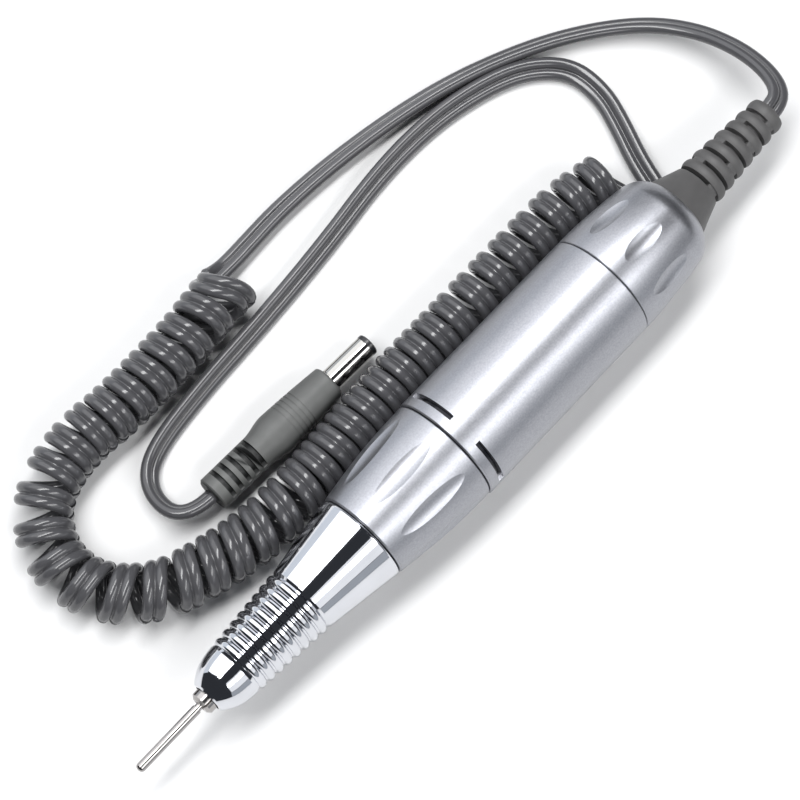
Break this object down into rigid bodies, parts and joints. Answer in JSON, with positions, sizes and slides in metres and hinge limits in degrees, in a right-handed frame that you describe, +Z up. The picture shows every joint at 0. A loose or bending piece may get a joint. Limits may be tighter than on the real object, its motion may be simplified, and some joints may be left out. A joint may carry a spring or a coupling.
{
  "type": "nail drill handpiece",
  "caption": "Handheld rotary nail drill lying with its curly cord and DC plug: chrome nose with collet, satin twist collar and barrel, motor inside.",
  "frame": {"origin": "on the surface the handpiece lies on, under the middle of the handpiece's length (bit tip to end of strain relief), below its axis", "axes": "+X along the handpiece from the bit to the cord end, +Z up, +Y to the side where the curly cord and plug lie"},
  "size_m": [0.2208, 0.0861, 0.028],
  "materials": {
    "chrome": "bright chrome plate",
    "satin_aluminium": "fine bead-blasted satin, anodised silver",
    "steel": "ground steel",
    "sleeve_steel": "polished steel",
    "bronze": "sintered bronze",
    "brass": "brass",
    "copper": "enamelled copper wire",
    "laminations": "stacked electrical steel",
    "magnet": "sintered ferrite",
    "carbon": "pressed carbon",
    "motor_plastic": "moulded nylon",
    "sleeve_plastic": "thin insulating film",
    "ceramic": "dipped ceramic",
    "wire_red": "insulated wire",
    "wire_black": "insulated wire",
    "relief_rubber": "matte soft grip rubber",
    "seal_rubber": "matte rubber",
    "cord_pvc": "glossy soft cord jacket",
    "plug_rubber": "matte moulded grip",
    "nickel": "nickel plate",
    "black_plastic": "moulded insulator"
  },
  "bodies": {
    "handpiece": {"nose_cone": "chrome", "spindle_housing": "sleeve_steel", "barrel": "satin_aluminium", "rear_cap": "satin_aluminium", "strain_relief": "relief_rubber", "dust_seal": "seal_rubber", "bearing_spacer": "steel", "bearing_retaining_ring": "steel", "front_bearing_outer_race": "steel", "rear_bearing_outer_race": "steel", "collar_o_ring": "seal_rubber", "motor_can": "steel", "motor_sleeve": "sleeve_plastic", "front_motor_bush": "bronze", "rear_motor_bush": "bronze", "motor_magnets": "magnet", "motor_end_bell": "motor_plastic", "brush_holders": "brass", "carbon_brushes": "carbon", "brush_springs": "steel", "motor_terminals": "brass", "motor_screws": "steel", "pressure_washer": "steel", "noise_capacitor": "ceramic", "cord_clamp": "brass", "positive_lead_wire": "wire_red", "negative_lead_wire": "wire_black", "handpiece_lead": "cord_pvc", "coiled_cord": "cord_pvc", "plug_lead": "cord_pvc", "plug_body": "plug_rubber", "plug_barrel": "nickel", "plug_insulator": "black_plastic", "plug_center_contact": "nickel"},
    "twist_collar": {"twist_collar": "satin_aluminium"},
    "release_ring": {"release_ring": "steel", "release_pins": "steel"},
    "spindle": {"spindle_shaft": "steel", "spindle_nut": "steel", "chuck_spring": "steel", "front_bearing_inner_race": "steel", "rear_bearing_inner_race": "steel", "spindle_drive_dog": "steel", "motor_drive_dog": "steel", "motor_shaft": "steel", "armature_core": "laminations", "armature_windings": "copper", "commutator": "copper"},
    "collet": {"collet": "steel", "drawbar": "steel", "cross_pin": "steel", "thrust_ring": "steel"},
    "bit": {"shank_pin": "steel"},
    "front_ball_set": {"front_bearing_balls": "chrome", "front_bearing_cage": "brass"},
    "rear_ball_set": {"rear_bearing_balls": "chrome", "rear_bearing_cage": "brass"}
  },
  "joints": [
    {"name": "collar_twist", "type": "hinge", "parent": "handpiece", "child": "twist_collar", "pos_m": [-0.02, 0, 0.014], "axis": [1, 0, 0], "range_deg": [0, 60]},
    {"name": "ring_travel", "type": "slide", "parent": "twist_collar", "child": "release_ring", "axis": [-1, 0, 0], "range_m": [0, 0.00151]},
    {"name": "spindle_spin", "type": "hinge", "parent": "handpiece", "child": "spindle", "pos_m": [0, 0, 0.014], "axis": [1, 0, 0], "continuous": true},
    {"name": "collet_travel", "type": "slide", "parent": "spindle", "child": "collet", "axis": [-1, 0, 0], "range_m": [0, 0.00121], "deforming": ["chuck_spring"]},
    {"name": "bit_pull", "type": "slide", "parent": "collet", "child": "bit", "axis": [-1, 0, 0], "range_m": [0, 0.024]},
    {"name": "front_balls_orbit", "type": "hinge", "parent": "handpiece", "child": "front_ball_set", "pos_m": [-0.0735, 0, 0.014], "axis": [1, 0, 0], "continuous": true},
    {"name": "rear_balls_orbit", "type": "hinge", "parent": "handpiece", "child": "rear_ball_set", "pos_m": [-0.0475, 0, 0.014], "axis": [1, 0, 0], "continuous": true}
  ],
  "couplings": [
    {"joint": "ring_travel", "follows": "collar_twist", "m_per_rad": 0.0014324},
    {"joint": "collet_travel", "follows": "collar_twist", "m_per_rad": 0.0011459},
    {"joint": "front_balls_orbit", "follows": "spindle_spin", "ratio": 0.4375},
    {"joint": "rear_balls_orbit", "follows": "spindle_spin", "ratio": 0.4375}
  ]
}
